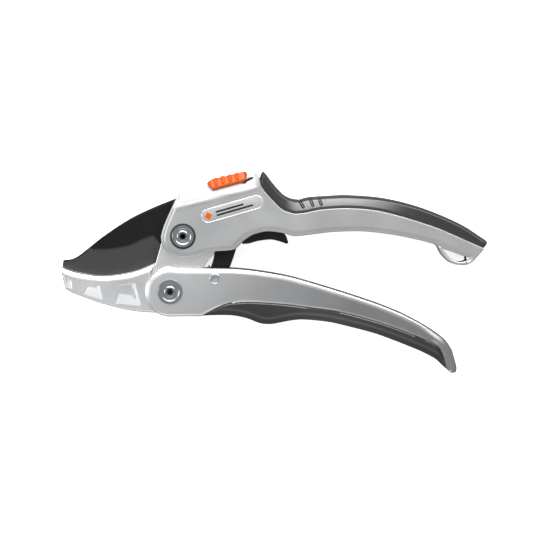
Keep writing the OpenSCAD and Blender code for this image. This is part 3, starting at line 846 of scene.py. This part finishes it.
def blade_leaf():
    """The blade in front of its hub: flat to the bevel line, then falling evenly to the edge."""
    bevel, _ = cut(spine_line, -45.7)
    bevel = np.vstack([bevel, smooth([[-45.7, -6.05], [-39.35, -5.9], [-33.3, -5.3],
                                      [-26.6, -3.8], [-21.5, -1.4], [-17.6, 0.2],
                                      [-14.9, 0.75], [-13.4, -0.8], [-11.65, -3.6],
                                      [-9, -8.5]])])
    edge = np.vstack([edge_line[::-1], [[-9, -10]]])
    count = 160
    low = resample(edge, count)
    mid = resample(bevel, count)
    high = resample(np.vstack([spine_line, [[2, 17], [2, 8]]]), count)
    t = np.linspace(0, 1, 16)[None, :, None]
    ground = low[:, None] + (mid - low)[:, None] * t
    flat = mid[:, None] + (high - mid)[:, None] * t[:, 1:]
    grid = np.hstack([ground, flat])
    drop = 1.25 * (1 - t[0, :, 0])
    height = BLADE - np.concatenate([drop, np.zeros(15)])[None] * np.ones((count, 1))
    spine_off = distance(grid, spine_line)
    height = np.maximum(height - round_over(spine_off, 0.35), 0.3)
    return shell_between(grid, height, -height)


def blade():
    """Leaf, crown, bored hub, and the tail with three round notches for the strut's nose."""
    shells = Shells().add(*blade_leaf())
    turn = math.atan2(T[1], T[0])
    along = np.array([math.cos(turn), math.sin(turn)])
    up = np.array([-along[1], along[0]])
    crank = float(np.hypot(*T))
    edge = [[27.2, 0], [27.2, 4], [25.2, 6], [14, 11.5], [4, 16]]
    notches = [arc([crank - back, 0], 2.3, 180, 0, 10) for back in (9.6, 4.8, 0)]
    tail = np.vstack([[[0, -3], [8, 0]]] + notches + [edge])
    tail = tail[:, :1] * along + tail[:, 1:] * up
    shells.add(*plate(tail, -BLADE, BLADE, 0.15))
    crown = np.vstack([arc(O, 19.3, 103, 60, 20), [[6, 8], [-4, 8]]])
    shells.add(*plate(crown, -BLADE, BLADE, 0.15))
    shells.add(*turned([[5.05, -BLADE], [10.4, -BLADE], [10.5, 0], [10.4, BLADE], [5.05, BLADE],
                        [5.05, -BLADE]], O))
    piece = shells.piece("blade_plate")
    # marks the ground bevel for its painted highlight
    mark(piece, "ground", lambda v: step_up(0.02, 0.12, BLADE - np.abs(v[:, 2])) * (
        v[:, 0] < -9) * (distance(v[:, :2], spine_line) > 0.6))
    finish_piece(piece, "blade_arm", "blade_coating", ["blade"])


def head_with_socket(name, centre, radius, base, top, body, nodes):
    """Turned screw head: domed rim, raised ring, and a six-lobed socket in its middle."""
    profile = [[0, top - 1.5], [0.9, top - 1.5], [1.6, top - 1.45], [1.66, top - 0.5],
               [1.74, top - 0.1], [1.95, top - 0.02], [2.45, top], [2.62, top - 0.12],
               [2.7, top - 0.5], [2.95, top - 0.62], [3.4, top - 0.6],
               [radius - 1.7, top - 0.36], [radius - 1.45, top - 0.2], [radius - 0.9, top - 0.12],
               [radius - 0.45, top - 0.2], [radius - 0.12, top - 0.5], [radius, top - 0.9],
               [radius, base], [3, base], [3, SHANK_LOW], [0, SHANK_LOW]]

    def lobes(r, a):
        return 1 + 0.2 * np.cos(6 * a) * (1 - step_up(1.66, 1.95, r))

    piece = Shells().add(*turned(profile, centre, 120, lobes)).piece(name, sharp=30)
    # marks the socket's inside for the painted shade in its colour
    mark(piece, "socket_shade", lambda v: (np.hypot(*(v[:, :2] - centre).T) < 1.9) & (
        v[:, 2] > top - 2) & (v[:, 2] < top - 0.3))
    finish_piece(piece, body, "bolt_steel", nodes, turned_steel(name + "_steel", centre))


def nut(name, centre, radius, base, body, nodes):
    """Flanged nut under a bolt: a hexagon on a round flange, bored for the shank.

    The hexagon's radius at angle a is its corner's radius times cos 30 / cos(a mod 60 - 30).
    """
    low, hexagon = -PAD, 4.75
    profile = [[3.02, base], [radius, base], [radius, low + 0.75], [radius - 0.15, low + 0.6],
               [hexagon + 0.06, low + 0.55], [hexagon, low + 0.5], [hexagon, low + 0.2],
               [hexagon - 0.25, low], [3.4, low], [3.02, low + 0.3], [3.02, base]]

    def six_sides(r, a):
        turn = np.mod(a, math.pi / 3) - math.pi / 6
        return np.where((r < hexagon + 0.03) & (r > 3.5),
                        math.cos(math.pi / 6) / np.cos(turn), 1.0)

    piece = Shells().add(*turned(profile, centre, 120, six_sides)).piece(name, sharp=30)
    finish_piece(piece, body, "bolt_steel", nodes, turned_steel(name + "_steel", centre))


def rivet_head():
    """Peened end of the strut pin: a shallow dimple inside a raised ring."""
    top = PAD + 0.3
    profile = [[0, top - 0.3], [0.9, top - 0.25], [1.5, top - 0.02], [1.9, top], [2.0, top - 0.1],
               [2.0, -PAD], [0, -PAD]]
    shells = Shells().add(*turned(profile, P, 64))
    shells.add(*turned([[2.05, PAD - 0.3], [2.05, PAD + 0.02], [2.35, PAD + 0.18],
                        [2.65, PAD + 0.02], [2.65, PAD - 0.3], [2.05, PAD - 0.3]], P, 64))
    finish_piece(shells.piece("strut_rivet"), "lower_lever", "bolt_steel", ["strut_pin"])


def strut_piece():
    """Flat link from the strut pin up to its round nose."""
    body = np.vstack([
        smooth([T + [-1.9, -0.6], P + [-0.6, 20], P + [-0.5, 12.15], P + [-2.1, 5.9],
                P + [-4.6, 2]], 5), arc(P, 5, 158, 360, 20),
        smooth([P + [5.4, 2.5], P + [7.5, 5.9], P + [10.35, 14.35], P + [10.5, 17.5],
                P + [9.2, 22.3], T + [1.6, -1.2]], 5), arc(T, 2, -36, 197, 14)])
    piece = Shells().add(*plate(tidy(body), -BLADE, BLADE, 0.3)).piece("strut_link")
    finish_piece(piece, "strut_link", "strut_coating", ["ratchet_strut"])


def trigger_piece():
    """Curved lever with soft edges, split by the slot that its spring lies in."""
    outline = np.vstack([
        smooth([[29.9, 4], [29.4, 0], [29.5, -3.95]], 4),
        smooth([[29.5, -3.95], [33, -3.65], [37.8, -2.35], [44.15, -1.75], [49.25, -3],
                [51.5, -3.8], [52.4, -3.4], [52.45, -2.7], [50.6, 1.2], [45, 4.6],
                [36, 5.4]], 6), arc(TRIGGER, 3.2, 25, 175, 14)])
    shells = Shells().both_sides(*plate(tidy(outline), 1.5, 3.9, 0.7, 0.1))
    middle = smooth([[37, -2.0], [44.15, -1.5], [49.25, -2.75], [51.3, -3.5], [52.1, -2.7],
                     [50.3, 1.0], [45, 4.2], [41.2, 4.8]], 6)
    shells.add(*plate(middle, -1.6, 1.6))
    finish_piece(shells.piece("release_lever"), "trigger", "trigger_black", ["release_trigger"])


def on_spine(uv):
    """Places along and above the head's spine line."""
    uv = np.asarray(uv, float)
    above = np.array([-SPINE_ALONG[1], SPINE_ALONG[0]])
    return SPINE_AT + uv[..., :1] * SPINE_ALONG + uv[..., 1:] * above


def slider_piece():
    """Saddle on the spine: ribbed sloping sides over a plain skirt, and a ribbed back.

    Height = face, less a slope above the skirt, plus ribs along a raised cosine, less a
    quarter-round. The inner side clears the casting over the whole travel.
    """
    u = np.linspace(6.9, 27.3, 205)
    bottom = np.interp(u, [6.9, 9.0, 25.9, 27.3], [0.25, -3.5, -2.4, 0.7])
    wave = 0.5 + 0.5 * np.cos((u - 11.4) * 2 * math.pi / 3.6)
    inside = step_up(9.2, 10.6, u) * (1 - step_up(23.4, 25, u))
    top = np.interp(u, [6.9, 7.9, 9.8, 25.6, 27.1, 27.3], [0.35, 1.2, 1.9, 2.3, 2.15, 0.85])
    ribbed = top + inside * (0.55 * wave**2.5 - 0.1)
    t = np.linspace(0, 1, 44)
    height = bottom[:, None] + (ribbed - bottom)[:, None] * t[None]
    grid = on_spine(np.dstack([u[:, None] * np.ones_like(height), height]))
    above = height - bottom[:, None]
    facet = 8.3 - 0.62 * np.maximum(above - 1.25, 0)
    ribs = 0.85 * (wave**2)[:, None] * inside[:, None] * step_up(1.3, 2.4, above)
    around = np.vstack([grid[:, 0], grid[::-1, -1], grid[:1, 0]])
    front = facet + ribs - round_over(distance(grid, around), 0.5)
    front = np.maximum(front, 6.05)
    passed = [HEAD - facet_fall(grid + LOCK_TRAVEL * part * SPINE_ALONG)[1]
              for part in (0, 0.5, 1)]
    low = np.where(height < 0.3, np.maximum.reduce(passed) + 0.12, 5.0)
    low = np.minimum(low, front - 0.05)
    shells = Shells().both_sides(*shell_between(grid, front, low))
    cap = np.vstack([np.column_stack([u, np.maximum(bottom, 0.28)]),
                     np.column_stack([u, ribbed])[::-1]])
    shells.add(*plate(tidy(on_spine(cap)), -5.6, 5.6, 0.1))
    finish_piece(shells.piece("lock_saddle"), "lock", "lock_orange", ["lock_slider"])


BADGE_FROM = np.array([12.6, 10.15])
BADGE_TO = np.array([36.7, 17.05])


def stadium(r):
    """The badge's outline: two half circles of radius r."""
    lie = math.degrees(math.atan2(*(BADGE_TO - BADGE_FROM)[::-1]))
    return np.vstack([arc(BADGE_FROM, r, lie + 90, lie + 270),
                      arc(BADGE_TO, r, lie - 90, lie + 90)])


def badge_pieces():
    """Blank plate in a raised rim, with a plain diamond and two bars for its mark."""
    face = Shells().add(*plate(stadium(3.0), HEAD - 0.4, HEAD + 0.12, 0.08))
    finish_piece(face.piece("badge_plate"), "frame", "badge_face", ["badge"])
    loop = np.vstack([stadium(3.25), stadium(3.25)[:1]])
    ring = np.column_stack([resample(loop, 140), np.full(140, HEAD + 0.02)])
    rim = Shells().add(*wire(ring, 0.22, 8))
    finish_piece(rim.piece("badge_rim"), "frame", "badge_face")
    lie = (BADGE_TO - BADGE_FROM) / np.hypot(*(BADGE_TO - BADGE_FROM))
    side = np.array([-lie[1], lie[0]])

    def flat(name, corners, slot):
        shells = Shells()
        for points in corners:
            p = np.asarray(points, float)
            shells.add(*plate(BADGE_FROM + p[:, :1] * lie + p[:, 1:] * side, HEAD,
                              HEAD + 0.17, 0.04))
        finish_piece(shells.piece(name), "frame", slot)

    diamond = [[-1.9, 0], [0.1, -2], [2.1, 0], [0.1, 2]]
    flat("badge_diamond", [diamond], "lock_orange")
    bars = [[[4.2, -1.35], [23, -1.35], [23, -0.45], [4.2, -0.45]],
            [[4.2, 0.35], [18.5, 0.35], [18.5, 1.25], [4.2, 1.25]]]
    flat("badge_bars", bars, "ring_black")


def springs():
    """The strut's pair of springs and the trigger's: helices of round wire, straight legs."""
    path = coil_path(np.zeros(2), 3.2, 0.95, 2.25, -math.pi / 2, BLADE + 0.6)
    start, stop = path[0], path[-1]
    lead = np.linspace(start - [5, 0, 0], start, 8)[:-1]
    leave = np.linspace(stop, stop + [0, 6.5, 0], 10)[1:]
    path = np.vstack([lead, path, leave]) * [-1, 1, 1] + [*P, 0]
    pair = Shells().both_sides(*wire(path, 0.45)).piece("strut_spring_wire")
    finish_piece(pair, "lower_lever", "spring_steel", ["strut_spring"])
    path = coil_path(TRIGGER, 2.0, 0.65, 2.5, math.pi, -0.85)
    lead = np.linspace([TRIGGER[0] - 2, TRIGGER[1] + 8.5, -0.85], path[0], 12)[:-1]
    single = Shells().add(*wire(np.vstack([lead, path]), 0.3)).piece("trigger_spring_wire")
    finish_piece(single, "frame", "spring_steel", ["trigger_spring"])


upper_casting()
upper_pad()
lower_casting()
lower_pad()
anvil_casting()
anvil_lip()
blade()
head_with_socket("main_bolt_turned", O, 5.6, HEAD - 1, PAD + 0.7, "frame", ["main_bolt"])
head_with_socket("lower_bolt_turned", Q, 6.2, PAD + 0.05, PAD + 2, "frame", ["lower_bolt"])
nut("main_nut_turned", O, 5.5, -6.4, "frame", ["main_nut"])
nut("lower_nut_turned", Q, 6.2, -6.6, "frame", ["lower_nut"])
rivet_head()
strut_piece()
trigger_piece()
slider_piece()
badge_pieces()
springs()

for name, node in frame["nodes"].items():
    slot = next(s["material_slot"] for s in frame["record"]["subparts"] if s["node"] == name)
    for index in range(len(node.material_slots)):
        node.material_slots[index].material = MATERIALS[slot]


# ---------------------------------------------------------------- floor, light and camera


def floor():
    """Pale paper: white to the camera, and grey to the light that the metal reflects."""
    look = Look("floor_paper", Roughness=0.9, Emission_Strength=0.85)
    tone = look.noise(6, 2)
    paper = look.blend(look.clamp(tone, 0.2, 0.8), grey(0.93), grey(0.95))
    seen = look.node("ShaderNodeLightPath", output="Is Camera Ray")
    look.set("Base Color", look.blend(seen, grey(0.3), paper))
    look.set("Emission Color", look.blend(seen, grey(0), paper))
    mesh = bpy.data.meshes.new("floor")
    half, below = 3.0, -0.0002
    corners = [[-half, -half, below], [half, -half, below], [half, half, below],
               [-half, half, below]]
    mesh.from_pydata(corners, [], [[0, 1, 2, 3]])
    piece = linked("floor", mesh)
    mesh.materials.append(look.material)


def softbox(name, at, size, energy):
    """Oblong area lamp that faces the origin."""
    lamp = bpy.data.lights.new(name, "AREA")
    lamp.shape, lamp.size, lamp.size_y, lamp.energy = "RECTANGLE", size[0], size[1], energy
    holder = linked(name, lamp)
    holder.rotation_euler = (-Vector(at)).to_track_quat("-Z", "Y").to_euler()
    holder.location = at


def studio():
    """A pale surround, a large box and a thin strip past the upper handle, and two fills."""
    world = bpy.data.worlds.new("studio")
    world.use_nodes = True
    back = world.node_tree.nodes["Background"]
    back.inputs[0].default_value = (0.96, 0.98, 1.0, 1)
    back.inputs[1].default_value = 0.47
    bpy.context.scene.world = world
    softbox("upper_box", (0.05, 0.86, 0.7), (1.8, 0.75), 13)
    softbox("edge_strip", (0.1, 0.9, 0.5), (1.3, 0.12), 5)
    softbox("front_fill", (0.0, -0.9, 0.5), (1.2, 0.4), 1.2)
    softbox("left_fill", (-0.8, 0.1, 0.4), (0.4, 0.8), 2.2)


def camera():
    """Looks down from a little above the tool's upper side; the view is 275 mm wide."""
    view_width, lens, sensor, tilt = 0.275, 150.0, 36.0, math.radians(2)
    data = bpy.data.cameras.new("camera")
    data.lens, data.sensor_width = lens, sensor
    holder = linked("camera", data)
    away = view_width * lens / sensor
    aim = place([45.9, -19.4, 4])
    holder.location = (aim[0], aim[1] + away * math.sin(tilt), aim[2] + away * math.cos(tilt))
    holder.rotation_euler = (-tilt, 0, 0)
    bpy.context.scene.camera = holder


floor()
studio()
camera()
